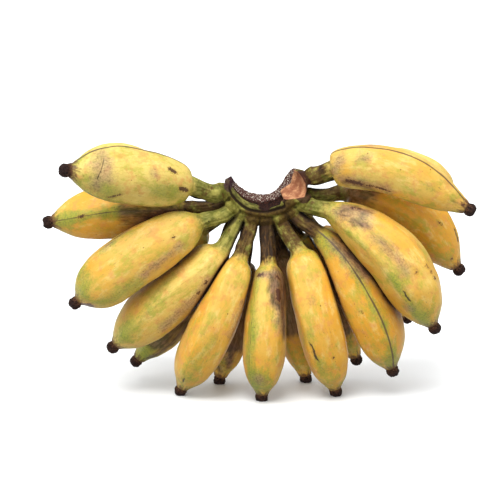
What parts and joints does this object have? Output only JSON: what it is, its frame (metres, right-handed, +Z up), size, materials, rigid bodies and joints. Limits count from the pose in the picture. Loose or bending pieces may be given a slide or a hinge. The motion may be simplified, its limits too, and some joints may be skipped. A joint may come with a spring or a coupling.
{
  "type": "hand of bananas",
  "caption": "Hand of short, fat, ripe cooking bananas in two fanned rows on one cut crown, standing on its fingertips.",
  "frame": {"origin": "On the surface that the hand stands on, under the middle of its box.", "axes": "+Z up. +X runs across the fan of fingers, to the viewer's right. -Y is the side that the front row of fingers faces."},
  "size_m": [0.3196, 0.1365, 0.195],
  "materials": {
    "crown": "matte",
    "peel": "satin"
  },
  "bodies": {
    "root": {"crown": "crown", "finger_front_1": "peel", "finger_front_2": "peel", "finger_front_3": "peel", "finger_front_4": "peel", "finger_front_5": "peel", "finger_front_6": "peel", "finger_front_7": "peel", "finger_front_8": "peel", "finger_front_9": "peel", "finger_back_1": "peel", "finger_back_2": "peel", "finger_back_3": "peel", "finger_back_4": "peel", "finger_back_5": "peel", "finger_back_6": "peel", "finger_back_7": "peel", "finger_back_8": "peel", "finger_back_9": "peel", "finger_back_10": "peel"}
  },
  "joints": []
}
